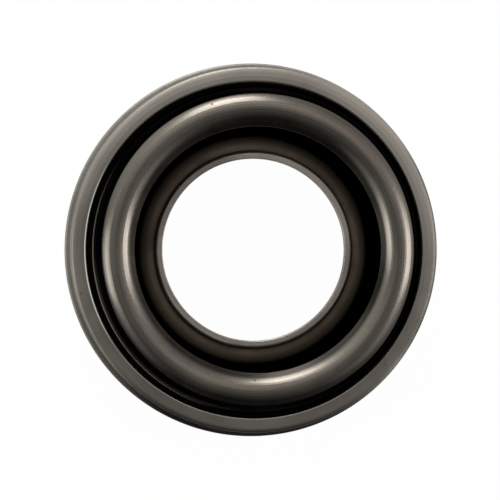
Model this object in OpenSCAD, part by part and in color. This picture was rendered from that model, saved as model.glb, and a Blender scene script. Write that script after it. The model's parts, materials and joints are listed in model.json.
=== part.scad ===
// Clutch release bearing, push type, self-centring.
// The axis is Z. The rear face lies on Z = 0 and the rounded nose points up.
// A crimped steel case holds a ball bearing that may float sideways in it.
// Sections are drawn as radius along X and height along Y, then revolved.

/* [Hub] */
// Bore of the collar that is pressed on the release sleeve
bore_d = 33; // [30:0.5:36]
// Wall of the collar
collar_t = 1.2; // [0.8:0.1:1.6]
// Height of the collar above the hub's shoulder
collar_rise = 2.7; // [2:0.1:4]
// Thickness of the hub plate
plate_t = 1.6; // [1.2:0.1:2]
// Height of the hub's shoulder above the rear face
shoulder_z = 9.8; // [8.5:0.1:11]
// Width of the shoulder, from the collar to the hub's wall
shoulder_w = 3.05; // [2.6:0.05:4]
// Rounding of the shoulder's outer edge
shoulder_r = 2; // [1:0.1:2.4]
// Rounding where the sleeve enters the collar
entry_r = 2; // [0.5:0.1:2]
// Rounding of the collar's outer edge
collar_edge_r = 0.45; // [0.2:0.05:0.6]

/* [Nose ring] */
// Gap between the hub's wall and the nose ring's bore
hub_gap = 1.35; // [1.1:0.05:1.8]
// Width of the nose ring
nose_w = 5.85; // [5.6:0.05:7.5]
// Radius of the rounded nose
nose_r = 3.2; // [2.9:0.1:4.5]
// Width of the nose ring from its bore to the crown of the nose
crown_w = 3.3; // [3.1:0.05:3.8]
// Slope of the nose's flank, from the round down to the bore, in degrees
flank_angle = 44; // [38:1:50]
// Height of the nose above the front lip of the case
nose_rise = 6; // [4:0.25:8]

/* [Balls and cage] */
// Ball diameter
ball_d = 5.556; // [4.762:0.001:6]
// Number of balls
ball_count = 18; // [14:1:18]
// Contact angle of the races
contact_angle = 40; // [35:1:45]
// Race groove radius as a part of the ball diameter
groove_ratio = 0.53; // [0.52:0.005:0.54]
// Running gap between a ball and a race
ball_clear = 0.06; // [0.06:0.01:0.1]
// Gap between a ball and its cage pocket
pocket_clear = 0.12; // [0.08:0.01:0.16]
// Thickness of the cage
cage_t = 2; // [1.6:0.1:2.1]
// Width of the cage's closed rim, inside the balls
cage_rim = 1.4; // [1.1:0.1:1.5]
// Length of the cage's fingers, from the ball circle
cage_finger = 2.2; // [1.8:0.1:2.4]

/* [Outer race] */
// Wall of the outer race
race_wall = 1.4; // [1:0.1:2]
// Thickness of the outer race under the balls
race_base = 2; // [1.6:0.1:2.6]
// Height of the outer race
race_h = 10.65; // [10.2:0.05:13]
// Chamfer around the outer race's bottom edge
race_chamfer = 1.2; // [0.6:0.1:1.6]
// Chamfer on the outer race's front edges
race_edge = 0.3; // [0.1:0.05:0.4]

/* [Seals] */
// Width of the front seal, from the nose ring to the outer race
seal_w = 1.45; // [1.1:0.05:2]
// Height of the front seal
seal_h = 1.8; // [1.2:0.1:2]
// Depth of the front seal below the outer race's edge
seal_sink = 0.6; // [0.3:0.1:0.8]
// Running gap between a seal and the nose ring
seal_clear = 0.15; // [0.1:0.01:0.2]
// Thickness of the rear seal
rear_seal_t = 0.5; // [0.4:0.05:0.55]

/* [Centring spring] */
// Height of the conical spring between the hub plate and the outer race
spring_h = 1.5; // [1.2:0.1:2]
// Thickness of the spring
spring_t = 0.6; // [0.4:0.05:0.8]
// Width of the spring
spring_w = 4; // [3:0.25:5]

/* [Case] */
// Thickness of the case sheet
sheet = 1.2; // [0.9:0.1:1.5]
// Overlap of the front lip over the outer race
lip_catch = 0.55; // [0.4:0.05:1]
// Radius of the gently crowned front face
face_r = 8; // [5:0.25:10]
// Rounding of the front face's outer edge
face_edge_r = 0.5; // [0.3:0.05:0.7]
// Rounding of the front lip's bore edge
lip_edge_r = 0.3; // [0.15:0.05:0.4]
// Height of the crimped edge above the rear face
crimp_lift = 0.2; // [0.1:0.05:0.5]
// Length of the crimped edge under the hub plate
crimp_w = 1.6; // [1:0.1:2]
// Rounding of the seam's edges
seam_edge_r = 0.4; // [0.2:0.05:0.8]

/* [Float and fits] */
// Side play of the floating bearing inside the case
float_clear = 1; // [0.95:0.05:1.4]
// Rest position of the floating bearing along X
settle_x = 0.44; // [-0.6:0.01:0.6]
// Rest position of the floating bearing along Y
settle_y = 0; // [-0.6:0.01:0.6]
// Gap between the outer race and the lip that it slides under
slide_clear = 0.05; // [0.02:0.01:0.1]
// Gap of a pressed seat
seat_clear = 0.02; // [0:0.01:0.04]

/* [Hidden] */
$fn = 120;
eps = 0.01;

// Radii, from the bore outwards
bore_r = bore_d / 2;
collar_r = bore_r + collar_t;
hat_r = collar_r + shoulder_w;
ring_bore_r = hat_r + hub_gap;
ring_r = ring_bore_r + nose_w;
crown_r = ring_bore_r + crown_w;
race_bore_r = ring_r + seal_w;
race_r = race_bore_r + race_wall;
case_bore_r = race_r + float_clear;
case_r = case_bore_r + sheet;
seam_r = case_r + sheet;
lip_r = race_r - lip_catch;

// Ball circle, and the groove centres shifted along the contact line
ball_r = ball_d / 2;
race_step = 0.12;
pitch_r = race_bore_r - ball_r - race_step;
groove_r = groove_ratio * ball_d;
groove_shift = groove_r - ball_r - ball_clear;
contact = [cos(contact_angle), -sin(contact_angle)];

// Heights, from the rear face upwards
race_z = plate_t + spring_h;
ball_z = race_z + race_base + ball_clear + ball_r;
race_top = race_z + race_h;
lip_under = race_top + slide_clear;
lip_top = lip_under + sheet;
nose_top = lip_top + nose_rise;
nose_z = nose_top - nose_r;
collar_top = shoulder_z + collar_rise;
rim_z = crimp_lift + sheet;
rim_top = rim_z + plate_t;

// Nose flank: a cone that leaves the round where the slopes agree, set in by a hair to join cleanly
flank_bite = 0.01;
flank_reach = nose_r - flank_bite;
flank_top = [crown_r - flank_reach * sin(flank_angle), nose_z + flank_reach * cos(flank_angle)];
flank_z = flank_top.y - (flank_top.x - ring_bore_r) * tan(flank_angle);

// Races: how far each one reaches around the ball
ring_step_gap = 0.25;
ring_step_z = ball_z + ball_r + ring_step_gap;
skirt_drop = 1;
skirt_z = ball_z - skirt_drop;
race_in_r = pitch_r - 0.5;
race_in_z = ball_z - ball_r + ball_clear;

// Hub plate: a dished middle inside a raised rim that the case grips
dish_margin = 1.2;
dish_r = race_r - dish_margin;
rim_in_r = dish_r + 1;
hub_bend_r = 0.8;
bore_edge_r = 0.15;

// Centring spring, clear of the dish's slope over the whole float
spring_margin = 0.2;
spring_r = dish_r - float_clear - spring_margin;
spring_in_r = spring_r - spring_w;

// Cage: a cone across the contact line, closed inside and open outside
pocket_r = ball_r + pocket_clear;
cage_in = pocket_r + cage_rim;

ball_names = [for (i = [1:ball_count]) str("ball_", i < 10 ? "0" : "", i)];

// A rectangle of a section, from one radius and height to another
module band(r0, r1, z0, z1) {
    translate([r0, z0])
        square([r1 - r0, z1 - z0]);
}

// A rounded outer corner: what is left of a square outside its quarter circle
module corner_cut(r, z, size, up) {
    difference() {
        translate([r - size, up ? z - size : z])
            square([size + eps, size + (up ? eps : 0)]);
        translate([r - size, up ? z - size : z + size])
            circle(r = size);
    }
}

// The floating bearing rests a little off the case's axis
module floating() {
    translate([settle_x, settle_y, 0])
        children();
}

// Front face of the case: a shallow crown that ends in a small edge rounding
module crowned_face() {
    crown_c = [lip_r + lip_edge_r, lip_top - face_r];
    edge_x = case_r - face_edge_r - crown_c.x;
    edge_y = sqrt(pow(face_r - face_edge_r, 2) - pow(edge_x, 2));
    edge_c = crown_c + [edge_x, edge_y];
    tangent_r = crown_c.x + edge_x * face_r / (face_r - face_edge_r);
    intersection() {
        translate(crown_c)
            circle(r = face_r);
        band(crown_c.x, tangent_r, lip_under - sheet, lip_top + eps);
    }
    translate(edge_c)
        circle(r = face_edge_r);
    band(crown_c.x, case_r, lip_under - sheet, edge_c.y);
    band(lip_r, crown_c.x + eps, lip_under - sheet, lip_top);
}

// Case: one drawn cup, with a turned-in lip in front and a crimped seam behind
module front_cover() {
    color("#6f6962")
        rotate_extrude()
            difference() {
                union() {
                    crowned_face();
                    band(lip_r, case_r, rim_z, lip_under);
                    difference() {
                        band(lip_r, seam_r, crimp_lift, rim_top + sheet);
                        corner_cut(seam_r, rim_top + sheet, seam_edge_r, true);
                        corner_cut(seam_r, crimp_lift, seam_edge_r, false);
                    }
                }
                band(0, case_bore_r, rim_top - eps, lip_under);
                band(0, case_r, rim_z, rim_top);
                band(0, case_r - crimp_w, 0, rim_z + eps);
                translate([lip_r, lip_top])
                    mirror([1, 0])
                        corner_cut(0, 0, lip_edge_r, true);
            }
}

// Hub: one pressed plate, raised to a hat in the middle with a collar on top
module hub_plate() {
    hat_in_r = hat_r - plate_t;
    rim_r = case_r - seat_clear;
    color("#5d5750")
        rotate_extrude()
            difference() {
                union() {
                    polygon([
                        [hat_in_r, 0], [dish_r, 0], [rim_in_r, rim_z], [rim_r, rim_z],
                        [rim_r, rim_top], [rim_in_r, rim_top], [dish_r, plate_t], [hat_in_r, plate_t]
                    ]);
                    band(hat_in_r, hat_r, 0, shoulder_z);
                    band(bore_r, hat_r, shoulder_z - plate_t, shoulder_z);
                    band(bore_r, collar_r, shoulder_z - eps, collar_top);
                    band(hat_r - eps, hat_r + hub_bend_r, plate_t - eps, plate_t + hub_bend_r);
                }
                translate([hat_r + hub_bend_r, plate_t + hub_bend_r])
                    circle(r = hub_bend_r);
                corner_cut(hat_r, shoulder_z, shoulder_r, true);
                translate([hat_in_r, 0])
                    mirror([1, 0])
                        corner_cut(0, 0, hub_bend_r, false);
                translate([bore_r, shoulder_z - plate_t])
                    mirror([1, 0])
                        corner_cut(0, 0, entry_r, false);
                translate([bore_r, collar_top])
                    mirror([1, 0])
                        corner_cut(0, 0, bore_edge_r, true);
                corner_cut(collar_r, collar_top, collar_edge_r, true);
            }
}

// Centring spring: a conical washer that presses the outer race to the lip
module centring_spring() {
    color("#4a4d52")
        floating()
            rotate_extrude()
                polygon([
                    [spring_in_r, plate_t],
                    [spring_in_r + spring_t / 2, plate_t],
                    [spring_r, race_z - spring_t],
                    [spring_r, race_z],
                    [spring_r - spring_t / 2, race_z],
                    [spring_in_r, plate_t + spring_t]
                ]);
}

// Outer race: a turned cup with its groove at the balls' lower outer side
module outer_race() {
    color("#7d7a75")
        floating()
            rotate_extrude()
                difference() {
                    band(race_in_r, race_r, race_z, race_top);
                    band(0, race_bore_r, ball_z, race_top + eps);
                    band(0, pitch_r, race_in_z, ball_z + eps);
                    translate([pitch_r, ball_z] - groove_shift * contact)
                        circle(r = groove_r);
                    polygon([
                        [race_r - race_chamfer, race_z], [race_r, race_z + race_chamfer],
                        [race_r + eps, race_z - eps]
                    ]);
                    polygon([
                        [race_r - race_edge, race_top], [race_r, race_top - race_edge],
                        [race_r + eps, race_top + eps]
                    ]);
                    polygon([
                        [race_bore_r - eps, race_top + eps], [race_bore_r, race_top - race_edge],
                        [race_bore_r + race_edge, race_top]
                    ]);
                }
}

// Front seal: a rubber ring in the outer race, with a lip by the nose ring
module front_seal() {
    seat_r = race_bore_r - seat_clear;
    lip_in_r = ring_r + seal_clear;
    seal_top = race_top - seal_sink;
    seal_z = seal_top - seal_h;
    color("#1c1b1a")
        floating()
            rotate_extrude()
                polygon([
                    [seat_r, seal_z], [seat_r, seal_top], [seat_r - seal_w / 3, seal_top],
                    [lip_in_r, seal_top - seal_h / 3], [lip_in_r, seal_top - seal_h / 2],
                    [seat_r - seal_w / 2, seal_z]
                ]);
}

// Rear seal: a rubber ring in the outer race's foot, turned up to the skirt
module rear_seal() {
    seal_in_r = ring_bore_r + seal_clear;
    color("#1c1b1a")
        floating()
            rotate_extrude() {
                band(seal_in_r, race_in_r - seat_clear, race_z, race_z + rear_seal_t);
                band(seal_in_r, seal_in_r + rear_seal_t, race_z, skirt_z - seal_clear);
            }
}

// Nose ring: the turning inner ring, with the rounded nose that the fingers push
module nose_ring() {
    color("#8a857e")
        floating()
            rotate_extrude()
                difference() {
                    union() {
                        intersection() {
                            translate([crown_r, nose_z])
                                circle(r = nose_r);
                            band(ring_bore_r, ring_r, nose_z - eps, nose_top + eps);
                        }
                        polygon([
                            [ring_r, ring_step_z], [ring_r, nose_z], [crown_r, nose_z],
                            flank_top, [ring_bore_r, flank_z], [ring_bore_r, ring_step_z]
                        ]);
                        band(ring_bore_r, pitch_r, skirt_z, ring_step_z + eps);
                    }
                    translate([pitch_r, ball_z] + groove_shift * contact)
                        circle(r = groove_r);
                }
}

// Ball cage: a moulded crown that keeps the balls evenly spaced
module ball_cage() {
    across = [-contact.y, contact.x];
    inner_end = -cage_in * across;
    outer_end = cage_finger * across;
    half = cage_t / 2 * contact;
    color("#a8916a")
        floating()
            difference() {
                rotate_extrude()
                    translate([pitch_r, ball_z])
                        polygon([inner_end + half, outer_end + half, outer_end - half, inner_end - half]);
                for (i = [1:ball_count])
                    at_ball(i)
                        sphere(r = pocket_r);
            }
}

// Place of one ball on the ball circle
module at_ball(i) {
    rotate([0, 0, (i - 1) * 360 / ball_count])
        translate([pitch_r, 0, ball_z])
            children();
}

// One ball
module ball(i) {
    color("#c9c9c6")
        floating()
            at_ball(i)
                sphere(r = ball_r);
}

front_cover();
hub_plate();
centring_spring();
outer_race();
front_seal();
rear_seal();
nose_ring();
ball_cage();
for (i = [1:ball_count])
    ball(i);
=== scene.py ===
# %% [markdown]
# # A clutch release bearing, dressed for its photograph
# A release bearing slides along the gearbox's input sleeve. A fork pushes it from behind, and its
# rounded nose ring meets the spinning fingers of the clutch cover and turns with them.
# CAD has already made every solid of it and MuJoCo moves those solids, so this script only dresses
# them: finely turned skins, steel, rubber and plastic finishes, a camera and lamps.
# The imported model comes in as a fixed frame, in metres. Nothing in the frame is moved.

# %% Load the frame
import json
import math

import bpy
from mathutils import Matrix, Vector

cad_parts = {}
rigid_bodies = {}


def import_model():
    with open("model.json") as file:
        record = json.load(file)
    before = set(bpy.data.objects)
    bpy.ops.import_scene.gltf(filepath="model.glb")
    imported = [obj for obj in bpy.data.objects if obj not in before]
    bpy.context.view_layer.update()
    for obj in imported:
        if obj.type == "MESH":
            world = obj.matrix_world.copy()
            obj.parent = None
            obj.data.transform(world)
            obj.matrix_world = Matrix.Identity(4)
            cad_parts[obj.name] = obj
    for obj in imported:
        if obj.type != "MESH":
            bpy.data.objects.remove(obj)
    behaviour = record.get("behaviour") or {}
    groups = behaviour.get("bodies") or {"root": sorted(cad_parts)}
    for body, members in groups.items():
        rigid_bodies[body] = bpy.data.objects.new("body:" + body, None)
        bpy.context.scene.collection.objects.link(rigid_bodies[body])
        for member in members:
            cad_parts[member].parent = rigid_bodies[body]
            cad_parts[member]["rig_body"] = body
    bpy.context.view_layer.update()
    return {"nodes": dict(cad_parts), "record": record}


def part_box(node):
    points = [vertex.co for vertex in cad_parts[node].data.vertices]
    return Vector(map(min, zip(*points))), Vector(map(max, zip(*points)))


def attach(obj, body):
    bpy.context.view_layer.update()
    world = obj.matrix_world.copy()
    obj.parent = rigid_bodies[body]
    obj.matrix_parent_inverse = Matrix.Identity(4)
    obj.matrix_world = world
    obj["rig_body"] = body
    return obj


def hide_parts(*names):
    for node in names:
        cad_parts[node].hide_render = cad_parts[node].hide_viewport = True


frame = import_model()
nodes = frame["nodes"]

# %% [markdown]
# ## Sizes
# The bearing is a set of rings, so a radius and a height say nearly everything. They are read from
# the boxes of the CAD solids, in millimetres because that is how such parts are drawn. Only wall
# thicknesses, small steps and edge rounds, which no box can show, are written here as numbers.

# %% Read the sizes
MM = 0.001
AXIS = Vector((0, 0, 0))


def box_mm(node):
    """Lowest and highest corner of a solid, in millimetres."""
    low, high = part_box(node)
    return low / MM, high / MM


def ring_mm(node):
    """Outer radius, bottom and top of a ring-shaped solid, in millimetres."""
    low, high = box_mm(node)
    return (high.x - low.x) / 2, low.z, high.z


mounts = {mount["name"]: mount for mount in frame["record"]["mounts"]}
bore_r = mounts["sleeve_bore"]["dims"]["r_mm"]
hat_in_r = mounts["sleeve_recess"]["dims"]["r_mm"]

seam_r, crimp_z, lip_top = ring_mm("front_cover")
rim_r, rear_z, collar_top = ring_mm("hub_plate")
ring_r, skirt_z, nose_top = ring_mm("nose_ring")
race_r, race_z, race_top = ring_mm("outer_race")
seal_r, seal_z, seal_top = ring_mm("front_seal")

# The floating bearing rests a little beside the axis of its case
ring_low, ring_high = box_mm("nose_ring")
settle = Vector(((ring_low.x + ring_high.x) / 2, (ring_low.y + ring_high.y) / 2, 0))
ball_low, ball_high = box_mm("ball_01")
ball_r = (ball_high.z - ball_low.z) / 2
ball_z = (ball_high.z + ball_low.z) / 2
pitch_r = (ball_high.x + ball_low.x) / 2 - settle.x

# Walls and steps, as drawn in CAD
SHEET = 1.2
PLATE = 1.6
COLLAR = 1.2
COLLAR_RISE = 2.7
LIP_CATCH = 0.55
RACE_WALL = 1.4
NOSE_W = 5.85
NOSE_R = 3.2
CROWN_W = 3.3
# The flank of the nose is a little steeper than in CAD, as its shading shows
FLANK = math.radians(47)

case_r = seam_r - SHEET
case_bore_r = case_r - SHEET
rim_z = crimp_z + SHEET
rim_top = rim_z + PLATE
lip_r = race_r - LIP_CATCH
lip_under = lip_top - SHEET
collar_r = bore_r + COLLAR
hat_r = hat_in_r + PLATE
shoulder_z = collar_top - COLLAR_RISE
ring_bore_r = ring_r - NOSE_W
crown_r = ring_bore_r + CROWN_W
flank_r = crown_r - NOSE_R * math.sin(FLANK)
flank_z = nose_top - NOSE_R * (1 - math.cos(FLANK)) - (flank_r - ring_bore_r) * math.tan(FLANK)
race_bore_r = race_r - RACE_WALL
print(f"case {2 * seam_r:.1f} mm wide, bore {2 * bore_r:.1f} mm, nose at {nose_top:.2f} mm")
print(f"the bearing rests {settle.x:.2f}, {settle.y:.2f} mm off the axis")

# %% [markdown]
# ## Small helpers for node trees
# Geometry Nodes and shaders are both node trees, and writing one in Python means adding nodes,
# setting sockets and drawing links. A few short helpers keep that readable. One adds a node and
# fills its inputs, with a number or with the output of another node. Others do arithmetic, map a
# number from one range to another and mix colours. The last two open a node group with named inputs
# and outputs, and close it.

# %% Helpers for node trees
SOCKETS = {
    "geometry": "NodeSocketGeometry",
    "vector": "NodeSocketVector",
    "number": "NodeSocketFloat",
    "count": "NodeSocketInt",
    "material": "NodeSocketMaterial",
}


def add(tree, kind, inputs=None, **settings):
    """Adds a node, sets its properties, and fills inputs with values or links; returns its outputs."""
    made = tree.nodes.new(kind)
    for name, value in settings.items():
        setattr(made, name, value)
    for name, value in (inputs or {}).items():
        if isinstance(value, bpy.types.NodeSocket):
            tree.links.new(value, made.inputs[name])
        else:
            made.inputs[name].default_value = value
    return made.outputs


def reckon(tree, operation, first, second=0.0):
    """One arithmetic step on numbers."""
    return add(tree, "ShaderNodeMath", {0: first, 1: second}, operation=operation)[0]


def times(tree, first, second):
    """The product of two numbers."""
    return reckon(tree, "MULTIPLY", first, second)


def vectors(tree, operation, first, second=AXIS, output=0):
    """One arithmetic step on vectors; output is "Value" where the result is a number."""
    return add(tree, "ShaderNodeVectorMath", {0: first, 1: second}, operation=operation)[output]


def ramp(tree, value, low, high, low_to=0.0, high_to=1.0):
    """Maps a number smoothly from one range to another and holds it at the ends."""
    inputs = {"Value": value, "From Min": low, "From Max": high, "To Min": low_to, "To Max": high_to}
    return add(tree, "ShaderNodeMapRange", inputs, interpolation_type="SMOOTHSTEP")["Result"]


def between(tree, mask, none, full):
    """Maps a mask from 0 to 1 smoothly to two other values."""
    return ramp(tree, mask, 0.0, 1.0, none, full)


def mix(tree, share, first, second):
    """Mixes two colours. A Mix node keeps its colour sockets at places 6 and 7, and 2 on the right."""
    return add(tree, "ShaderNodeMix", {0: share, 6: first, 7: second}, data_type="RGBA")[2]


def open_group(name, kind, inputs, outputs):
    """A new node group with named sockets; returns the tree, its inputs and its output node."""
    tree = bpy.data.node_groups.new(name, kind)
    for title, socket in inputs.items():
        tree.interface.new_socket(title, in_out="INPUT", socket_type=SOCKETS[socket])
    for title, socket in outputs.items():
        tree.interface.new_socket(title, in_out="OUTPUT", socket_type=SOCKETS[socket])
    start = tree.nodes.new("NodeGroupInput").outputs
    end = tree.nodes.new("NodeGroupOutput")
    return tree, start, end


def close(tree, end, **results):
    """Links the results of a group to its named outputs."""
    for name, socket in results.items():
        tree.links.new(socket, end.inputs[name])


# %% [markdown]
# ## Marks that every steel ring carries
# A ring that has been turned or ground shows fine circular marks. They close on themselves round
# the axis and change quickly across the section. A noise read at the point's direction round the
# axis, together with the distance along the section, does just that: each ring's own mesh carries
# that distance as an attribute called run. The same trick with the stretch turned round gives the
# faint upright lines of a drawn sheet wall.

# %% Shader group: turning marks
NO_HEIGHT = (1, 1, 0)


def turning_marks():
    """Fine marks, broad bands and drawing lines of a ring, all from 0 to 1."""
    tree, start, end = open_group(
        "Turning marks", "ShaderNodeTree",
        {"Vector": "vector", "Run": "number", "Pitch": "number"},
        {"Fine": "number", "Bands": "number", "Drawn": "number"},
    )
    around = vectors(tree, "NORMALIZE", vectors(tree, "MULTIPLY", start["Vector"], NO_HEIGHT))
    side = add(tree, "ShaderNodeSeparateXYZ", {0: around})

    def ring_noise(wander, along, detail):
        """Noise that drifts slowly round the ring and changes along its section."""
        place = add(tree, "ShaderNodeCombineXYZ", {
            "X": times(tree, side["X"], wander),
            "Y": times(tree, side["Y"], wander),
            "Z": times(tree, start["Run"], along),
        })
        return add(tree, "ShaderNodeTexNoise", {"Vector": place[0], "Scale": 1.0, "Detail": detail})[0]

    close(
        tree, end,
        Fine=ring_noise(wander=0.7, along=reckon(tree, "DIVIDE", 1.0, start["Pitch"]), detail=3.0),
        Bands=ring_noise(wander=1.1, along=0.9, detail=2.0),
        Drawn=ring_noise(wander=90.0, along=0.12, detail=2.0),
    )
    return tree


# %% [markdown]
# ## Handling and storage
# Steel that has been on a shelf has soft clouded patches from oil and fingers, a fine grain from
# tumbling, a few dark specks and short scuffs. All of it comes from noise in Object coordinates, so
# it stays in place on the piece from any side. The group gives masks, and each finish decides how
# strongly they show.

# %% Shader group: shelf marks
SPECK_SIZE = (0.05, 0.12)
SPECK_PICK = (0.86, 0.88)
SCUFF_STRETCH = (0.25, 2.6, 1.4)


def shelf_marks():
    """Clouds, grain, specks and scuffs from 0 to 1, from the position in millimetres."""
    tree, start, end = open_group(
        "Shelf marks", "ShaderNodeTree",
        {"Vector": "vector"},
        {"Clouds": "number", "Grain": "number", "Specks": "number", "Scuffs": "number"},
    )
    place = start["Vector"]

    def noise(vector, scale, detail):
        return add(tree, "ShaderNodeTexNoise", {"Vector": vector, "Scale": scale, "Detail": detail})[0]

    dots = add(tree, "ShaderNodeTexVoronoi", {"Vector": place, "Scale": 0.42})
    near = ramp(tree, dots["Distance"], *SPECK_SIZE, 1.0, 0.0)
    few = ramp(tree, add(tree, "ShaderNodeSeparateColor", {0: dots["Color"]})[0], *SPECK_PICK)
    long_way = add(tree, "ShaderNodeMapping", {"Vector": place, "Scale": SCUFF_STRETCH})[0]
    close(
        tree, end,
        Clouds=ramp(tree, noise(place, scale=0.11, detail=4.0), 0.36, 0.64),
        Grain=ramp(tree, noise(place, scale=1.6, detail=1.0), 0.32, 0.68),
        Specks=times(tree, near, few),
        Scuffs=ramp(tree, noise(long_way, scale=1.0, detail=5.0), 0.63, 0.70),
    )
    return tree


TURNING = turning_marks()
SHELF = shelf_marks()
print("shader groups:", TURNING.name, "and", SHELF.name)


# %% [markdown]
# ## Starting a finish
# Every finish begins the same way: a Principled shader, the position in millimetres counted from
# the axis of its own ring, and the two groups above. A Mapping node does the counting, because the
# floating bearing is not on the axis of the case.
# The painted light and shade, and a darker side of the hub's end, are not the same all round, so a
# helper called facing gives a mask for one side of a ring: an azimuth in degrees, and two cosines
# between which the mask goes from 0 to 1.
# In the finishes below, the last two numbers of a ramp are a mark's strengths at its two ends.

# %% Start a finish
def start_finish(name, centre=AXIS, pitch=0.12):
    """A material with its shader, and the shared marks ready to be used."""
    material = bpy.data.materials.new(name)
    material.use_nodes = True
    tree = material.node_tree
    shader = tree.nodes["Principled BSDF"]
    where = add(tree, "ShaderNodeTexCoord")["Object"]
    per_mm = 1 / MM
    place = add(tree, "ShaderNodeMapping", {
        "Vector": where, "Scale": (per_mm, per_mm, per_mm), "Location": tuple(-centre),
    })[0]
    run = add(tree, "ShaderNodeAttribute", attribute_name="run")["Fac"]
    skin = add(tree, "ShaderNodeAttribute", attribute_name="skin")["Fac"]
    marks = {
        "Place": place,
        # Positive skin gives bare metal on the hub's collar end and a painted highlight elsewhere;
        # negative skin gives painted shade.
        "Rubbed": reckon(tree, "MAXIMUM", skin, 0.0),
        "Oiled": reckon(tree, "MAXIMUM", times(tree, skin, -1.0), 0.0),
    }
    for group, inputs in ((TURNING, {"Vector": place, "Run": run, "Pitch": pitch}),
                          (SHELF, {"Vector": place})):
        outputs = add(tree, "ShaderNodeGroup", inputs, node_tree=group)
        marks.update({output.name: output for output in outputs})
    return material, tree, shader, marks


def facing(tree, marks, azimuth, low, high):
    """A mask for the side of a ring that lies towards an azimuth in degrees."""
    way = vectors(tree, "NORMALIZE", vectors(tree, "MULTIPLY", marks["Place"], NO_HEIGHT))
    goal = (math.cos(math.radians(azimuth)), math.sin(math.radians(azimuth)), 0)
    return ramp(tree, vectors(tree, "DOT_PRODUCT", way, goal, "Value"), low, high)


def from_axis(tree, marks):
    """The distance from the ring's axis, in millimetres."""
    flat = vectors(tree, "MULTIPLY", marks["Place"], NO_HEIGHT)
    return vectors(tree, "LENGTH", flat, output="Value")


def height_of(tree, marks):
    """The height above the rear face, in millimetres."""
    return add(tree, "ShaderNodeSeparateXYZ", {0: marks["Place"]})["Z"]


def feed(tree, shader, title, socket):
    """Links a result to one of the shader's own inputs."""
    tree.links.new(socket, shader.inputs[title])


def relief_of(tree, shader, height, depth_mm, strength):
    """Feeds a Bump node from a height mask."""
    bump = add(tree, "ShaderNodeBump", {"Height": height, "Distance": depth_mm * MM, "Strength": strength})
    feed(tree, shader, "Normal", bump[0])


# %% [markdown]
# ## Steel of the nose ring
# The nose ring is hardened, then ground and tumbled, so it is the smoothest and darkest steel here.
# It mirrors the lamps as soft spots. Fine grinding marks run round it, and a faint dark line on the
# crown's right half is a painted reflection of the camera. Two small pits have stayed dark. The
# flanks below the crown are painted darker as shade, most on the right, the outer foot is painted dark
# as shade, most in front, the inner edge carries a faint painted highlight, and the bore under the
# nose is painted nearly black as shade.

# %% Finish: nose steel
# A near black, used for painted shade and for a painted dark reflection on the nose.
PAINTED_DARK = (0.012, 0.011, 0.010, 1)
NOSE_DARK = (0.121, 0.110, 0.097, 1)
NOSE_LIGHT = (0.171, 0.158, 0.142, 1)
NOSE_GROUND = (0.20, 0.185, 0.168, 1)
NOSE_GRAIN = (0.09, 0.083, 0.074, 1)
NOSE_SPECK = (0.02, 0.018, 0.016, 1)
NOSE_EDGE_HIGHLIGHT = (0.26, 0.243, 0.225, 1)
NOSE_PIT = (0.02, 0.018, 0.014, 1)
NOSE_BORE_SHADE = (0.004, 0.0035, 0.003, 1)
NOSE_SHEEN = (0.3, 0.29, 0.28, 1)
FLANK_SHADE_FADE = (nose_top - 1.4, nose_top - 0.95)
BORE_SHADE_FADE = (flank_z - 0.3, flank_z - 0.15)
FLANK_SHADE_SIDE = (0, 0.75, 1.0)
SHADED_FRONT_SIDE = (262, 0.35, 0.9)
CAMERA_REFLECTION_SIDE = (15, -0.4, 0.4)
CAMERA_REFLECTION_R = 25.05
CAMERA_REFLECTION_HALF = (0.05, 0.22)
NOSE_PITS = ((-8.3, 25.95, nose_top - 0.58), (-0.6, -23.35, nose_top - 0.74))
PIT_R = (0.12, 0.26)


def nose_steel():
    material, tree, shader, marks = start_finish("nose_steel", settle, pitch=0.16)
    height = height_of(tree, marks)
    # The flanks below the crown are painted darker as shade, most on the right.
    flank = ramp(tree, height, *FLANK_SHADE_FADE, 0.42, 0.0)
    flank = times(tree, flank, between(tree, facing(tree, marks, *FLANK_SHADE_SIDE), 1.0, 1.9))
    front = between(tree, facing(tree, marks, *SHADED_FRONT_SIDE), 0.05, 0.85)
    # A thin dark ring on the crown's right half is a painted reflection of the camera.
    beside = reckon(tree, "ABSOLUTE", reckon(tree, "SUBTRACT", from_axis(tree, marks), CAMERA_REFLECTION_R))
    camera_reflection = times(tree, ramp(tree, beside, *CAMERA_REFLECTION_HALF, 0.22, 0.0), facing(tree, marks, *CAMERA_REFLECTION_SIDE))
    tone = mix(tree, marks["Bands"], NOSE_DARK, NOSE_LIGHT)
    tone = mix(tree, ramp(tree, marks["Fine"], 0.35, 0.65, 0.0, 0.22), tone, NOSE_GROUND)
    tone = mix(tree, between(tree, marks["Grain"], 0.0, 0.12), tone, NOSE_GRAIN)
    tone = mix(tree, times(tree, marks["Specks"], 0.7), tone, NOSE_SPECK)
    tone = mix(tree, flank, tone, PAINTED_DARK)
    # The inner edge carries a faint painted highlight.
    tone = mix(tree, times(tree, marks["Rubbed"], 0.7), tone, NOSE_EDGE_HIGHLIGHT)
    # Faces with negative skin are painted dark as shade, most towards the front.
    tone = mix(tree, times(tree, marks["Oiled"], front), tone, PAINTED_DARK)
    tone = mix(tree, camera_reflection, tone, PAINTED_DARK)
    for pit in NOSE_PITS:
        off = vectors(tree, "DISTANCE", marks["Place"], pit, "Value")
        tone = mix(tree, ramp(tree, off, *PIT_R, 0.85, 0.0), tone, NOSE_PIT)
    # The bore under the nose is painted nearly black as shade.
    tone = mix(tree, ramp(tree, height, *BORE_SHADE_FADE, 1.0, 0.0), tone, NOSE_BORE_SHADE)
    feed(tree, shader, "Base Color", tone)
    shader.inputs["Metallic"].default_value = 1.0
    shader.inputs["Specular Tint"].default_value = NOSE_SHEEN
    gloss = reckon(tree, "ADD", ramp(tree, marks["Fine"], 0.3, 0.7, 0.24, 0.30),
                   between(tree, marks["Clouds"], 0.0, 0.05))
    feed(tree, shader, "Roughness", gloss)
    relief_of(tree, shader, marks["Fine"], 0.006, 0.06)
    return material
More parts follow.
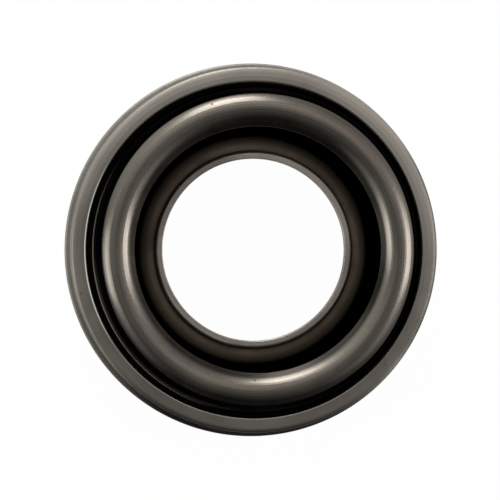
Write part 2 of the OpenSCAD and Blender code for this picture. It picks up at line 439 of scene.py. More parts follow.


# %% [markdown]
# ## Steel of the case
# The case is drawn from sheet and tumbled, with a dull satin skin. It is a little lighter and
# rougher than the nose, and its wall keeps faint upright lines from the drawing die. Two patches are
# painted lighter as light, the lip's inner edge carries a painted highlight as a bright line on the
# left, and the rounds at the outer edge and the seam are painted dark as shade, mostly in front and
# on the right.

# %% Finish: case steel
CASE_DARK = (0.225, 0.210, 0.191, 1)
CASE_LIGHT = (0.282, 0.265, 0.243, 1)
CASE_GRAIN = (0.13, 0.12, 0.11, 1)
CASE_TURNED = (0.26, 0.245, 0.226, 1)
CASE_PAINTED_LIGHT = (0.345, 0.326, 0.300, 1)
CASE_LINES = (0.10, 0.092, 0.084, 1)
CASE_SPECK = (0.05, 0.045, 0.04, 1)
CASE_PAINTED_HIGHLIGHT = (0.95, 0.97, 0.97, 1)
CASE_PAINTED_SHADE = (0.01, 0.009, 0.008, 1)
WALL_FADE = (lip_top - 2.6, lip_top - 1.6)
LIT_PATCHES = ((34, 0.8), (126, 0.55))
LIT_PATCH_SPREAD = (0.78, 1.0)
HIGHLIGHT_LEFT = (182, 0.78, 1.0)
HIGHLIGHT_FRONT = (255, 0.4, 0.8)
SHADE_FRONT = (267, 0.52, 1.0)
SHADE_RIGHT = (0, 0.7, 0.98)


def case_steel():
    material, tree, shader, marks = start_finish("case_steel", pitch=0.3)
    wall = ramp(tree, height_of(tree, marks), *WALL_FADE, 0.18, 0.0)
    lines = times(tree, ramp(tree, marks["Drawn"], 0.45, 0.75), wall)
    tone = mix(tree, marks["Clouds"], CASE_DARK, CASE_LIGHT)
    tone = mix(tree, between(tree, marks["Grain"], 0.0, 0.08), tone, CASE_GRAIN)
    tone = mix(tree, ramp(tree, marks["Fine"], 0.4, 0.7, 0.0, 0.08), tone, CASE_TURNED)
    # Two patches are painted lighter as light.
    for azimuth, share in LIT_PATCHES:
        patch = between(tree, facing(tree, marks, azimuth, *LIT_PATCH_SPREAD), 0.0, share)
        tone = mix(tree, patch, tone, CASE_PAINTED_LIGHT)
    tone = mix(tree, lines, tone, CASE_LINES)
    tone = mix(tree, times(tree, marks["Specks"], 0.5), tone, CASE_SPECK)
    # A painted highlight on the lip's inner edge, on the left and a little in front.
    lit = reckon(tree, "MAXIMUM", facing(tree, marks, *HIGHLIGHT_LEFT),
                 times(tree, facing(tree, marks, *HIGHLIGHT_FRONT), 0.22))
    lip_highlight = times(tree, marks["Rubbed"], lit)
    tone = mix(tree, lip_highlight, tone, CASE_PAINTED_HIGHLIGHT)
    # The edge rounds and the seam are painted dark as shade, mostly in front and on the right.
    edge_shade = reckon(tree, "MAXIMUM", between(tree, facing(tree, marks, *SHADE_FRONT), 0.1, 1.0),
                   between(tree, facing(tree, marks, *SHADE_RIGHT), 0.0, 0.8))
    tone = mix(tree, times(tree, marks["Oiled"], edge_shade), tone, CASE_PAINTED_SHADE)
    feed(tree, shader, "Base Color", tone)
    feed(tree, shader, "Metallic", between(tree, lip_highlight, 0.86, 0.3))
    gloss = reckon(tree, "ADD", between(tree, marks["Grain"], 0.20, 0.23),
                   between(tree, marks["Scuffs"], 0.0, 0.04))
    gloss = reckon(tree, "ADD", gloss, times(tree, marks["Oiled"], 0.35))
    feed(tree, shader, "Roughness", gloss)
    relief_of(tree, shader, marks["Grain"], 0.004, 0.03)
    return material


# %% [markdown]
# ## Steel of the hub
# The hub is pressed from thicker plate and carries a thin brown phosphate skin that holds oil, so
# it hardly shines. The collar's end was trimmed afterwards and is bare, with cutting marks. The bare
# end is painted lighter as light on one side and is darker on another, and one stretch of its outer
# edge carries a painted highlight. The plate's faces inside the case are painted nearly black as shade.

# %% Finish: hub steel
HUB_DARK = (0.137, 0.108, 0.079, 1)
HUB_LIGHT = (0.174, 0.143, 0.107, 1)
HUB_DRAWN = (0.07, 0.056, 0.043, 1)
BARE_DARK = (0.29, 0.271, 0.252, 1)
BARE_LIGHT = (0.42, 0.395, 0.370, 1)
BARE_CLOUD = (0.18, 0.163, 0.147, 1)
BARE_GRAIN = (0.20, 0.183, 0.166, 1)
BARE_PAINTED_LIGHT = (0.50, 0.47, 0.44, 1)
BARE_DARKER = (0.15, 0.136, 0.124, 1)
BARE_PAINTED_HIGHLIGHT = (0.90, 0.87, 0.84, 1)
HUB_SPECK = (0.02, 0.016, 0.012, 1)
HUB_PAINTED_SHADE = (0.003, 0.0025, 0.002, 1)
LIT_SIDE = (45, 0.5, 1.0)
DARKER_SIDE = (136, 0.7, 0.95)
HUB_HIGHLIGHT_SIDE = (230, 0.82, 0.98)
HUB_HIGHLIGHT_R = (collar_r - 0.6, collar_r - 0.2)


def hub_steel():
    material, tree, shader, marks = start_finish("hub_steel", pitch=0.22)
    skin = mix(tree, marks["Clouds"], HUB_DARK, HUB_LIGHT)
    skin = mix(tree, ramp(tree, marks["Drawn"], 0.4, 0.8, 0.0, 0.10), skin, HUB_DRAWN)
    bare = mix(tree, marks["Fine"], BARE_DARK, BARE_LIGHT)
    bare = mix(tree, between(tree, marks["Clouds"], 0.5, 0.0), bare, BARE_CLOUD)
    bare = mix(tree, between(tree, marks["Grain"], 0.3, 0.0), bare, BARE_GRAIN)
    # The bare end is painted lighter as light on one side, and is darker on another.
    bare = mix(tree, between(tree, facing(tree, marks, *LIT_SIDE), 0.0, 0.5), bare, BARE_PAINTED_LIGHT)
    bare = mix(tree, between(tree, facing(tree, marks, *DARKER_SIDE), 0.0, 0.5), bare, BARE_DARKER)
    # A stretch of the collar's outer edge carries a painted highlight.
    edge_highlight = times(tree, ramp(tree, from_axis(tree, marks), *HUB_HIGHLIGHT_R),
                  between(tree, facing(tree, marks, *HUB_HIGHLIGHT_SIDE), 0.0, 0.6))
    bare = mix(tree, edge_highlight, bare, BARE_PAINTED_HIGHLIGHT)
    tone = mix(tree, marks["Rubbed"], skin, bare)
    tone = mix(tree, times(tree, marks["Specks"], 0.6), tone, HUB_SPECK)
    # Negative skin paints the plate's faces inside the case nearly black as shade.
    tone = mix(tree, marks["Oiled"], tone, HUB_PAINTED_SHADE)
    feed(tree, shader, "Base Color", tone)
    shine = between(tree, marks["Rubbed"], 0.6, 1.0)
    feed(tree, shader, "Metallic", reckon(tree, "MAXIMUM", shine, marks["Oiled"]))
    gloss = reckon(tree, "SUBTRACT", between(tree, marks["Clouds"], 0.62, 0.54),
                   times(tree, marks["Rubbed"], 0.2))
    feed(tree, shader, "Roughness", gloss)
    relief_of(tree, shader, marks["Fine"], 0.01, 0.3)
    return material


# %% [markdown]
# ## Steel of the race, the balls and the spring
# These sit inside. The race is ground steel painted nearly black as shade in its groove, and one
# side of its inner chamfer carries a painted highlight as a light line. That highlight is painted
# as a plain light colour with no metal, so the shader's Metallic goes to zero there. The balls are
# polished and the spring is blued strip. Balls and spring keep their CAD solids, which carry no run
# attribute, so their variation comes from clouds and scuffs alone.

# %% Finishes: race, ball and spring steel
RACE_SHADED_DEEP = (0.0015, 0.0013, 0.0012, 1)
RACE_SHADED_PALE = (0.004, 0.0035, 0.003, 1)
RACE_PAINTED_HIGHLIGHT = (0.42, 0.372, 0.326, 1)
RACE_HIGHLIGHT_SIDE = (200, 0.45, 0.92)
BALL_TONES = ((0.42, 0.42, 0.41, 1), (0.50, 0.50, 0.49, 1))
SPRING_TONES = ((0.035, 0.042, 0.060, 1), (0.075, 0.075, 0.080, 1))


def race_steel():
    material, tree, shader, marks = start_finish("race_steel", settle, pitch=0.15)
    # One side of the inner chamfer carries a painted highlight.
    painted_line = times(tree, marks["Rubbed"], facing(tree, marks, *RACE_HIGHLIGHT_SIDE))
    # The race's tones are painted nearly black as shade in its groove.
    tone = mix(tree, marks["Bands"], RACE_SHADED_DEEP, RACE_SHADED_PALE)
    feed(tree, shader, "Base Color", mix(tree, painted_line, tone, RACE_PAINTED_HIGHLIGHT))
    feed(tree, shader, "Metallic", between(tree, painted_line, 1.0, 0.0))
    feed(tree, shader, "Roughness", ramp(tree, marks["Fine"], 0.3, 0.7, 0.28, 0.40))
    relief_of(tree, shader, marks["Fine"], 0.005, 0.2)
    return material


def ball_steel():
    material, tree, shader, marks = start_finish("ball_steel", settle)
    feed(tree, shader, "Base Color", mix(tree, marks["Clouds"], *BALL_TONES))
    shader.inputs["Metallic"].default_value = 1.0
    feed(tree, shader, "Roughness", between(tree, marks["Scuffs"], 0.08, 0.16))
    return material


def spring_steel():
    material, tree, shader, marks = start_finish("spring_steel", settle)
    feed(tree, shader, "Base Color", mix(tree, marks["Clouds"], *SPRING_TONES))
    shader.inputs["Metallic"].default_value = 1.0
    feed(tree, shader, "Roughness", between(tree, marks["Scuffs"], 0.32, 0.45))
    return material


# %% [markdown]
# ## Rubber and plastic
# The seals are black nitrile rubber, painted darker still as shade, with a painted highlight on one
# side of the front seal's edge, and the cage is glass-filled nylon the colour of straw. Neither is a
# metal, so the shader's Metallic stays at zero and the gloss comes from its roughness alone.

# %% Finishes: seal rubber and cage plastic
SEAL_SHADED_TONES = ((0.0015, 0.0015, 0.0015, 1), (0.004, 0.004, 0.004, 1))
SEAL_PAINTED_HIGHLIGHT = (0.060, 0.053, 0.047, 1)
SEAL_HIGHLIGHT_SIDE = (222, 0.72, 0.95)
SEAL_SHEEN = 0.03
CAGE_TONES = ((0.36, 0.27, 0.14, 1), (0.44, 0.34, 0.19, 1))


def seal_rubber():
    material, tree, shader, marks = start_finish("seal_rubber", settle, pitch=0.25)
    # One side of the seal's outer edge carries a painted highlight.
    painted_line = times(tree, marks["Rubbed"], facing(tree, marks, *SEAL_HIGHLIGHT_SIDE))
    # Black rubber, its tones painted darker still as shade in the gap.
    tone = mix(tree, marks["Clouds"], *SEAL_SHADED_TONES)
    feed(tree, shader, "Base Color", mix(tree, painted_line, tone, SEAL_PAINTED_HIGHLIGHT))
    shader.inputs["Specular IOR Level"].default_value = SEAL_SHEEN
    feed(tree, shader, "Roughness", between(tree, marks["Clouds"], 0.48, 0.62))
    relief_of(tree, shader, marks["Fine"], 0.01, 0.2)
    return material


def cage_plastic():
    material, tree, shader, marks = start_finish("cage_plastic", settle)
    feed(tree, shader, "Base Color", mix(tree, marks["Clouds"], *CAGE_TONES))
    feed(tree, shader, "Roughness", between(tree, marks["Scuffs"], 0.40, 0.52))
    relief_of(tree, shader, marks["Clouds"], 0.02, 0.2)
    return material


finishes = {
    make.__name__: make()
    for make in (nose_steel, case_steel, hub_steel, race_steel, ball_steel, spring_steel,
                 seal_rubber, cage_plastic)
}
print("finishes:", ", ".join(finishes))


# %% [markdown]
# ## Drawing a section
# Each ring is a flat section turned round the axis. The section is a list of corners, each with a
# radius, a height and the size of its round. A turning tool or a press leaves no sharp edge, so
# almost every corner has a small round, and those rounds are what catch the light.
# A fourth number, the skin, says how bright an edge is painted: bare metal on the hub's collar end,
# a painted highlight elsewhere. Below zero it says how dark a face is painted as shade. A stretch
# between two such corners is the same. Two extra points close to the ends of each straight stretch
# keep the smooth shading flat there.

# %% Draw a section
SUPPORT = 0.12
ARC_STEP = math.radians(9)


def arc(centre_r, centre_z, radius, start, end, skin=0.0):
    """Corners along an arc, angles in degrees from the outward direction."""
    sweep = math.radians(end - start)
    steps = max(2, math.ceil(abs(sweep) / ARC_STEP))
    angles = [math.radians(start) + sweep * step / steps for step in range(steps + 1)]
    return [(centre_r + radius * math.cos(a), centre_z + radius * math.sin(a), 0, skin) for a in angles]


def rounded(before, here, after, radius):
    """The points of one corner's round."""
    if radius == 0:
        return [here]
    back = (before - here).normalized()
    on = (after - here).normalized()
    half = back.angle(on) / 2
    centre = here + (back + on).normalized() * (radius / math.sin(half))
    first = here + back * (radius / math.tan(half)) - centre
    turn = math.copysign(math.pi - 2 * half, on.cross(back))
    steps = max(3, math.ceil(abs(turn) / ARC_STEP))
    return [centre + Matrix.Rotation(turn * step / steps, 2) @ first for step in range(steps + 1)]


def draw_section(corners):
    """Turns corners into points (radius, height) with their skin, in order round the section."""
    places = [Vector(corner[:2]) for corner in corners]
    points = []
    for index, (_, _, radius, *skin) in enumerate(corners):
        bend = rounded(places[index - 1], places[index], places[(index + 1) % len(places)], radius)
        points += [(point, skin[0] if skin else 0.0) for point in bend]
    full = []
    for index, (here, skin) in enumerate(points):
        after, after_skin = points[(index + 1) % len(points)]
        full.append((here, skin))
        gap = (after - here).length
        if gap > 3 * SUPPORT:
            way = (after - here) / gap
            middle = min(skin, after_skin, key=abs) if skin * after_skin > 0 else 0.0
            full.append((here + way * SUPPORT, middle))
            full.append((after - way * SUPPORT, middle))
    return full


# %% [markdown]
# ## Turning a section into a ring
# The obvious tools are the Screw modifier and bmesh's spin. Geometry Nodes make the better lathe
# here, because one tree serves every ring, its inputs have names, and it can hand each point's
# place along the section on to the shader. The tree lays a grid with one column for each point of
# the section and one row for each step round the axis, and then moves every grid point to its place.
# Merge by Distance closes the two seams.

# %% Geometry Nodes: the lathe
SIDES = 288
MERGE_MM = 0.002


def ring_lathe():
    tree, start, end = open_group(
        "Ring lathe", "GeometryNodeTree",
        {"Section": "geometry", "Sides": "count", "Centre": "vector", "Finish": "material"},
        {"Ring": "geometry"},
    )
    count = add(tree, "GeometryNodeAttributeDomainSize", {0: start["Section"]})["Point Count"]
    rows = reckon(tree, "ADD", start["Sides"], 1.0)
    columns = reckon(tree, "ADD", count, 1.0)
    grid = add(tree, "GeometryNodeMeshGrid", {"Vertices X": columns, "Vertices Y": rows})["Mesh"]
    index = add(tree, "GeometryNodeInputIndex")[0]
    column = reckon(tree, "FLOOR", reckon(tree, "DIVIDE", reckon(tree, "ADD", index, 0.5), rows))
    row = reckon(tree, "SUBTRACT", index, times(tree, column, rows))
    point = reckon(tree, "MODULO", column, count)
    turn = times(tree, reckon(tree, "DIVIDE", row, start["Sides"]), -math.tau)

    def from_section(kind, field):
        """A value of the section at this grid point's column."""
        inputs = {"Geometry": start["Section"], "Value": field, "Index": point}
        return add(tree, "GeometryNodeSampleIndex", inputs, data_type=kind)[0]

    place = from_section("FLOAT_VECTOR", add(tree, "GeometryNodeInputPosition")[0])
    turned = add(tree, "ShaderNodeVectorRotate", {"Vector": place, "Angle": turn}, rotation_type="Z_AXIS")
    centred = vectors(tree, "ADD", turned[0], start["Centre"])
    ring = add(tree, "GeometryNodeSetPosition", {"Geometry": grid, "Position": centred})[0]
    for name in ("run", "skin"):
        field = add(tree, "GeometryNodeInputNamedAttribute", {"Name": name}, data_type="FLOAT")[0]
        inputs = {"Geometry": ring, "Name": name, "Value": from_section("FLOAT", field)}
        ring = add(tree, "GeometryNodeStoreNamedAttribute", inputs, data_type="FLOAT", domain="POINT")[0]
    ring = add(tree, "GeometryNodeMergeByDistance", {"Geometry": ring, "Distance": MERGE_MM * MM})[0]
    ring = add(tree, "GeometryNodeSetShadeSmooth", {"Geometry": ring})[0]
    ring = add(tree, "GeometryNodeRealizeInstances", {"Geometry": ring})[0]
    ring = add(tree, "GeometryNodeSetMaterial", {"Geometry": ring, "Material": start["Finish"]})[0]
    close(tree, end, Ring=ring)
    return tree


def plain_piece(name, maker):
    """Evaluates an object with its Geometry Nodes and keeps the result as a plain mesh."""
    graph = bpy.context.evaluated_depsgraph_get()
    mesh = bpy.data.meshes.new_from_object(maker.evaluated_get(graph), depsgraph=graph)
    mesh.name = name
    bpy.data.objects.remove(maker)
    piece = bpy.data.objects.new(name, mesh)
    bpy.context.scene.collection.objects.link(piece)
    return piece


def run_tree(name, mesh, tree, **inputs):
    """Puts a Geometry Nodes tree on a mesh, sets its inputs by identifier, and evaluates it."""
    maker = bpy.data.objects.new(name + "_maker", mesh)
    bpy.context.scene.collection.objects.link(maker)
    modifier = maker.modifiers.new("tree", "NODES")
    modifier.node_group = tree
    for socket in tree.interface.items_tree:
        if socket.name in inputs:
            modifier[socket.identifier] = inputs[socket.name]
    return plain_piece(name, maker)


LATHE = ring_lathe()


def turn_ring(name, corners, centre, finish, node):
    """Makes one ring from its corners and lets it stand for a CAD solid."""
    full = draw_section(corners)
    mesh = bpy.data.meshes.new(name + "_section")
    mesh.from_pydata([(point.x * MM, 0, point.y * MM) for point, _ in full], [], [])
    run = mesh.attributes.new("run", "FLOAT", "POINT")
    coat = mesh.attributes.new("skin", "FLOAT", "POINT")
    travelled = 0.0
    for index, (here, skin) in enumerate(full):
        travelled += (here - full[index - 1][0]).length if index else 0.0
        run.data[index].value = travelled
        coat.data[index].value = skin
    ring = run_tree(name, mesh, LATHE, Sides=SIDES, Centre=tuple(centre * MM), Finish=finishes[finish])
    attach(ring, nodes[node]["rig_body"])
    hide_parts(node)
    print(f"{name}: {len(full)} section points, {len(ring.data.polygons)} faces, {travelled:.1f} mm round")


# %% [markdown]
# ## The case
# The case is one drawn cup. In front it turns in to a lip that holds the bearing. The face in front
# is gently crowned, bends over a brow and ends in a tighter edge. Behind, the wall steps out to a
# seam that is crimped round the hub plate's rim. The outline starts inside, where the join of the
# run attribute can't be seen.

# %% Piece: case
FACE_R = 14.0
BROW_R = 2.5
BROW_LEAN = 20
FACE_EDGE = 0.44
LIP_EDGE = 0.3
CRIMP_W = 1.6
SEAM_EDGE = 0.4


def case_corners():
    face_in_r = lip_r + LIP_EDGE
    lean = math.radians(BROW_LEAN)
    edge_r = case_r - FACE_EDGE
    brow_r = edge_r - (BROW_R - FACE_EDGE) * math.sin(lean)
    face_lean = math.asin((brow_r - face_in_r) / (FACE_R - BROW_R))
    brow_z = lip_top - FACE_R + (FACE_R - BROW_R) * math.cos(face_lean)
    edge_z = brow_z + (BROW_R - FACE_EDGE) * math.cos(lean)
    face_end = 90 - math.degrees(face_lean)
    face = arc(face_in_r, lip_top - FACE_R, FACE_R, 90, face_end)
    # The brow and the edge round are painted dark as shade.
    brow = arc(brow_r, brow_z, BROW_R, face_end, 90 - BROW_LEAN, -0.15)
    edge = arc(edge_r, edge_z, FACE_EDGE, 90 - BROW_LEAN, 50, -0.7)
    edge += arc(edge_r, edge_z, FACE_EDGE, 42, 0, -0.9)
    # The lip's underside and inner round are painted nearly black as shade.
    clockwise = [(case_bore_r, lip_under, 0.2, -1), (lip_r, lip_under, 0.1, -1)]
    clockwise += arc(face_in_r, lip_top - LIP_EDGE, LIP_EDGE, 180, 120, -1)
    # The lip's upper round carries a painted highlight.
    clockwise += arc(face_in_r, lip_top - LIP_EDGE, LIP_EDGE, 114, 90, 1)
    clockwise += face[1:] + brow[1:-1] + edge
    # The seam and the inner faces behind it are painted dark as shade.
    clockwise += [(case_r, rim_top + SHEET, 0.25, -0.9), (seam_r, rim_top + SHEET, SEAM_EDGE, -0.9)]
    clockwise += [(seam_r, crimp_z, SEAM_EDGE, -0.3)]
    clockwise += [(case_r - CRIMP_W, crimp_z, 0.15, 0.5), (case_r - CRIMP_W, rim_z, 0.15)]
    clockwise += [(case_r, rim_z, 0), (case_r, rim_top, 0), (case_bore_r, rim_top, 0.1, -1)]
    return clockwise[::-1]


turn_ring("case", case_corners(), AXIS, "case_steel", "front_cover")

# %% [markdown]
# ## The hub
# The hub is one pressed plate. Its rim is gripped by the case's seam, its middle rises to a hat and
# a short collar on top of the hat holds the release sleeve. The collar flares slightly towards its
# foot, and only its trimmed end is bright.

# %% Piece: hub
HUB_BEND = 0.8
SHOULDER_R = 2.0
ENTRY_R = 2.0
COLLAR_EDGE = 0.6
COLLAR_FLARE = 0.26
BORE_EDGE = 0.15
DISH_INSET = 1.2
DISH_SLOPE = 1.0


def hub_corners():
    dish_r = race_r - DISH_INSET
    rim_in_r = dish_r + DISH_SLOPE
    return [
        # Skins of -1 paint the plate's faces inside the case nearly black as shade, -0.35 paints shade at
        # the collar's foot, and the collar's bare end takes positive skins.
        (hat_in_r, rear_z, HUB_BEND), (dish_r, rear_z, 0.5), (rim_in_r, rim_z, 0.4),
        (rim_r, rim_z, 0.05), (rim_r, rim_top, 0.05, -1), (rim_in_r, rim_top, 0.4, -1),
        (dish_r, rear_z + PLATE, 0.5, -1), (hat_r, rear_z + PLATE, HUB_BEND, -1),
        (hat_r, shoulder_z - SHOULDER_R - 0.2, 0, -1), (hat_r, shoulder_z, SHOULDER_R),
        (collar_r + COLLAR_FLARE, shoulder_z, 0.2, -0.35),
        (collar_r + 0.7 * COLLAR_FLARE, collar_top - COLLAR_EDGE - 0.1, 0, 0.2),
        (collar_r + 0.6 * COLLAR_FLARE, collar_top, COLLAR_EDGE, 0.8), (bore_r, collar_top, BORE_EDGE, 1),
        (bore_r, shoulder_z - PLATE, ENTRY_R), (hat_in_r, shoulder_z - PLATE, 0.3),
    ]


turn_ring("hub", hub_corners(), AXIS, "hub_steel", "hub_plate")

# %% [markdown]
# ## The nose ring
# The nose ring is the bearing's turning inner ring. A groove below carries the balls, and the round
# nose on top pushes the clutch fingers. The groove is a little wider than a ball, and its centre is
# shifted along the line of contact.

# %% Piece: nose ring
CONTACT = math.radians(40)
GROOVE_SHARE = 0.53
GROOVE_R = GROOVE_SHARE * 2 * ball_r
BALL_CLEAR = 0.06
STEP_CLEAR = 0.25
SHADED_FOOT = 6
groove_shift = GROOVE_R - ball_r - BALL_CLEAR


def nose_corners():
    step_z = ball_z + ball_r + STEP_CLEAR
    lean = math.degrees(math.acos((ring_r - crown_r) / NOSE_R))
    groove_x = pitch_r + groove_shift * math.cos(CONTACT)
    groove_z = ball_z - groove_shift * math.sin(CONTACT)
    foot = 180 - math.degrees(math.asin((skirt_z - groove_z) / GROOVE_R))
    head = math.degrees(math.acos((pitch_r - groove_x) / GROOVE_R))
    corners = [(ring_bore_r, skirt_z, 0.1)] + arc(groove_x, groove_z, GROOVE_R, foot, head)
    # The outer step and the foot of the nose are painted dark as shade.
    corners += [(pitch_r, step_z, 0), (ring_r, step_z, 0.2, -1)]
    corners += arc(crown_r, nose_top - NOSE_R, NOSE_R, lean, lean + SHADED_FOOT, -1)[:-1]
    corners += arc(crown_r, nose_top - NOSE_R, NOSE_R, lean + SHADED_FOOT, 90 + math.degrees(FLANK))
    # The inner edge carries a faint painted highlight.
    corners += [(ring_bore_r, flank_z, 0.15, 0.4)]
    return corners


turn_ring("nose", nose_corners(), settle, "nose_steel", "nose_ring")

# %% [markdown]
# ## The outer race
# The outer race floats inside the case. From in front only the chamfer at its bore shows, as a thin
# line between the case's lip and the seal. Two points on the chamfer say where its painted highlight lies.

# %% Piece: outer race
RACE_CHAMFER = 1.2
RACE_EDGE = 0.3
RACE_FOOT = 0.5
HIGHLIGHT_BAND = (0.56, 0.16)


def race_corners():
    race_in_r = pitch_r - RACE_FOOT
    race_in_z = ball_z - ball_r - BALL_CLEAR
    groove_x = pitch_r - groove_shift * math.cos(CONTACT)
    groove_z = ball_z + groove_shift * math.sin(CONTACT)
    head = math.degrees(math.asin((ball_z - groove_z) / GROOVE_R))
    foot = -math.degrees(math.acos((pitch_r - groove_x) / GROOVE_R))
    corners = [(race_in_r, race_z, 0.1), (race_r - RACE_CHAMFER, race_z, 0.1)]
    corners += [(race_r, race_z + RACE_CHAMFER, 0.1), (race_r, race_top, RACE_EDGE)]
    corners += [(race_bore_r + RACE_EDGE, race_top, 0.04)]
    # These points carry the chamfer's painted highlight.
    for share in HIGHLIGHT_BAND:
        corners += [(race_bore_r + share * RACE_EDGE, race_top - (1 - share) * RACE_EDGE, 0, 1)]
    corners += [(race_bore_r, race_top - RACE_EDGE, 0.04, 0.8), (race_bore_r, ball_z, 0)]
    corners += arc(groove_x, groove_z, GROOVE_R, head, foot)
    corners += [(race_in_r, race_in_z, 0.05)]
    return corners


turn_ring("race", race_corners(), settle, "race_steel", "outer_race")

# %% [markdown]
# ## The front seal
# A rubber ring closes the gap between the outer race and the nose ring. Its lip almost touches the
# nose ring. From in front only its dark top shows, with a painted highlight on its outer edge.

# %% Piece: front seal
SEAL_CLEAR = 0.15


def seal_corners():
    seal_w = race_bore_r - ring_r
    seal_h = seal_top - seal_z
    lip_in_r = ring_r + SEAL_CLEAR
    return [
        # The top outer corner carries a painted highlight.
        (seal_r, seal_z, 0.1), (seal_r, seal_top, 0.1, 1), (seal_r - seal_w / 3, seal_top, 0.15),
        (lip_in_r, seal_top - seal_h / 3, 0.08), (lip_in_r, seal_top - seal_h / 2, 0.08),
        (seal_r - seal_w / 2, seal_z, 0.1),
    ]


turn_ring("seal", seal_corners(), settle, "seal_rubber", "front_seal")

# %% [markdown]
# ## What stays as CAD made it
# The balls, their cage, the spring and the rear seal sit inside and their solids are right, so they
# stay and only take a finish.

# %% Finish the solids that stay
kept = {"centring_spring": "spring_steel", "rear_seal": "seal_rubber", "ball_cage": "cage_plastic"}
kept.update({name: "ball_steel" for name in nodes if name.startswith("ball_") and name != "ball_cage"})
for name, finish in kept.items():
    solid = nodes[name]
    solid.data.materials.clear()
    solid.data.materials.append(finishes[finish])
print("kept solids:", len(kept))

# %% [markdown]
# ## The camera
# The photograph looks almost straight down on the nose. The silhouette is a little off the centre
# of the face, which says that the camera leans about three degrees. A long lens far away keeps the
# rings from spreading.

# %% Camera
PHOTO_PX = 500
SENSOR_MM = 36.0
CAMERA_AWAY = 600.0
CLIP_START = 0.01
PX_PER_MM = 5.552
LEAN_LEFT = math.radians(3.0)
LEAN_DOWN = math.radians(0.13)
AIM = Vector((-0.797, -0.05, lip_top))

lens = bpy.data.cameras.new("photo_camera")
lens.sensor_width = SENSOR_MM
lens.lens = PX_PER_MM * SENSOR_MM * CAMERA_AWAY / PHOTO_PX
lens.clip_start = CLIP_START
camera = bpy.data.objects.new("photo_camera", lens)
bpy.context.scene.collection.objects.link(camera)
look = Vector((-math.tan(LEAN_LEFT), -math.tan(LEAN_DOWN), 1)).normalized()
across = Vector((0, 1, 0)).cross(look).normalized()
upward = look.cross(across)
turn = Matrix((across, upward, look)).transposed().to_4x4()
camera.matrix_world = Matrix.Translation((AIM + look * CAMERA_AWAY) * MM) @ turn
bpy.context.scene.camera = camera
print(f"camera {CAMERA_AWAY:.0f} mm away with a {lens.lens:.1f} mm lens")

# %% [markdown]
# ## Floor
# The part lies on a plain white sheet, a hair below the rear face so that the two never share a
# plane. Camera, mirror and glass rays see the sheet as nearly white, so the picture's background is
# clean, and a share of ordinary diffuse white keeps the part's shadow.

# %% Floor
FLOOR_SIDE = 0.16
FLOOR_Z = -0.02 * MM
WHITE_SHARE = 0.98
FLOOR_GREY = (0.8, 0.8, 0.8, 1)
WHITE = (1, 1, 1, 1)


def floor_white():
    material = bpy.data.materials.new("floor_white")
    material.use_nodes = True
    tree = material.node_tree
    tree.nodes.clear()
    rays = add(tree, "ShaderNodeLightPath")
    seen = reckon(tree, "MAXIMUM", rays["Is Camera Ray"], rays["Is Glossy Ray"])
    seen = reckon(tree, "MAXIMUM", seen, rays["Is Transmission Ray"])
    plain = add(tree, "ShaderNodeBsdfDiffuse", {"Color": FLOOR_GREY})
    glow = add(tree, "ShaderNodeEmission", {"Color": WHITE, "Strength": 1.0})
    share = times(tree, seen, WHITE_SHARE)
    both = add(tree, "ShaderNodeMixShader", {0: share, 1: plain[0], 2: glow[0]})
    end = tree.nodes.new("ShaderNodeOutputMaterial")
    tree.links.new(both[0], end.inputs["Surface"])
    return material


half = FLOOR_SIDE / 2
sheet_corners = [(x * half, y * half, FLOOR_Z) for x, y in ((-1, -1), (1, -1), (1, 1), (-1, 1))]
sheet_mesh = bpy.data.meshes.new("floor")
sheet_mesh.from_pydata(sheet_corners, [], [(0, 1, 2, 3)])
sheet_mesh.materials.append(floor_white())
floor = bpy.data.objects.new("floor", sheet_mesh)
bpy.context.scene.collection.objects.link(floor)
print("floor:", FLOOR_SIDE, "m wide")

# %% [markdown]
# ## Lamps
# Round shiny steel shows its surroundings, so the picture is made by what stands round it. The soft
# spots on the nose say where the lamps were: left, right and behind, about 25 degrees up, with the
# front side left dark.

# %% Lamps
LAMP_AWAY = 1.0
LAMP_WIDE = 0.42
LAMP_TALL = 0.62
LAMP_COLOUR = (1.0, 0.98, 0.94)
LAMPS = {"lamp_right": (0, 61, 4.1), "lamp_left": (186, 66, 3.2), "lamp_back": (100, 66, 6.6)}


def direction(azimuth, off_axis):
    """A unit vector from its angle round the axis and its angle off the axis, in degrees."""
    flat = math.sin(math.radians(off_axis))
    turn = math.radians(azimuth)
    return Vector((flat * math.cos(turn), flat * math.sin(turn), math.cos(math.radians(off_axis))))


for name, (azimuth, off_axis, watts) in LAMPS.items():
    light = bpy.data.lights.new(name, "AREA")
    light.shape = "RECTANGLE"
    light.size = LAMP_WIDE
    light.size_y = LAMP_TALL
    light.energy = watts
    light.color = LAMP_COLOUR
    lamp = bpy.data.objects.new(name, light)
    bpy.context.scene.collection.objects.link(lamp)
    away = direction(azimuth, off_axis)
    lamp.location = away * LAMP_AWAY
    lamp.rotation_euler = away.to_track_quat("Z", "Y").to_euler()
    lamp.visible_camera = False
    print(name, "at", azimuth, "degrees round,", 90 - off_axis, "degrees up")

# %% [markdown]
# ## Surroundings
# A world that brightens from the front towards the back does the rest. Each stop of its sky is a
# slope and a level. Two soft halos stand beside the lamps, one patch is dimmer, and the sky dips
# straight above, where the photographer's camera was. Cosines say how wide halos and dips are.

# %% World
SKY_STOPS = (
    (-0.80, 0.02), (-0.55, 0.11), (-0.30, 0.23), (0.0, 0.55), (0.25, 1.02), (0.50, 1.20), (0.80, 0.60),
)
SKY_RISE = (0.2, 0.9)
SKY_FULL = 1.25
SKY_LEFT = (1.0, 1.0, 0.92, 1)
SKY_RIGHT = (1.02, 0.955, 0.925, 1)
SKY_FAR_RIGHT = (0.72, 0.67, 0.65, 1)
HALOS = ((335, 62, 0.40), (205, 65, 0.34), (60, 34, -0.13))
HALO_SPREAD = (0.866, 0.995)
TOP_DIP = (0.955, 0.997, SKY_FULL, 0.72)
TOP_DIP_OFF = 2.5
CAMERA_DIP = (0.9955, 0.9985, 1.0, 0.72)


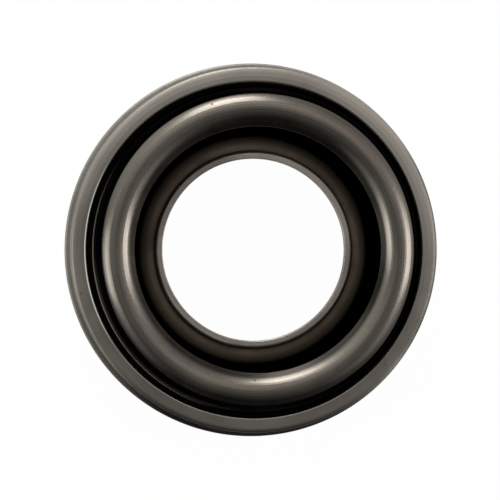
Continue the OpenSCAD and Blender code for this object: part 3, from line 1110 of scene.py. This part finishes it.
def studio_world():
    world = bpy.data.worlds.new("studio")
    world.use_nodes = True
    tree = world.node_tree
    tree.nodes.clear()
    where = add(tree, "ShaderNodeTexCoord")["Generated"]
    way = add(tree, "ShaderNodeSeparateXYZ", {0: where})
    slope = reckon(tree, "ADD", times(tree, way["X"], SKY_RISE[0]), times(tree, way["Y"], SKY_RISE[1]))
    sky = tree.nodes.new("ShaderNodeValToRGB")
    stops = sky.color_ramp.elements
    while len(stops) < len(SKY_STOPS):
        stops.new(0.5)
    for stop, (height, level) in zip(stops, SKY_STOPS):
        grey = level / SKY_FULL
        stop.position = (height + 1) / 2
        stop.color = (grey, grey, grey, 1)
    tree.links.new(times(tree, reckon(tree, "ADD", slope, 1.0), 0.5), sky.inputs["Fac"])
    tint = mix(tree, ramp(tree, way["X"], -0.5, 0.5), SKY_LEFT, SKY_RIGHT)
    tint = mix(tree, ramp(tree, way["X"], 0.15, 0.65), tint, SKY_FAR_RIGHT)
    hue = vectors(tree, "MULTIPLY", sky.outputs[0], tint)

    def toward(goal):
        """How nearly a ray goes along a direction, from -1 to 1."""
        return vectors(tree, "DOT_PRODUCT", where, tuple(goal), "Value")

    for azimuth, off_axis, level in HALOS:
        halo = ramp(tree, toward(direction(azimuth, off_axis)), *HALO_SPREAD, 0.0, level)
        hue = vectors(tree, "ADD", hue, halo)
    dip = ramp(tree, toward(direction(0, TOP_DIP_OFF)), *TOP_DIP)
    dip = times(tree, dip, ramp(tree, toward(look), *CAMERA_DIP))
    rays = add(tree, "ShaderNodeLightPath")
    open_air = add(tree, "ShaderNodeBackground", {"Color": hue, "Strength": dip})
    white = add(tree, "ShaderNodeBackground", {"Color": WHITE, "Strength": 1.0})
    both = add(tree, "ShaderNodeMixShader", {0: rays["Is Camera Ray"], 1: open_air[0], 2: white[0]})
    end = tree.nodes.new("ShaderNodeOutputWorld")
    tree.links.new(both[0], end.inputs["Surface"])
    return world


bpy.context.scene.world = studio_world()
bpy.context.scene.view_settings.view_transform = "Standard"
print("world:", len(SKY_STOPS), "sky stops and", len(HALOS), "soft patches")
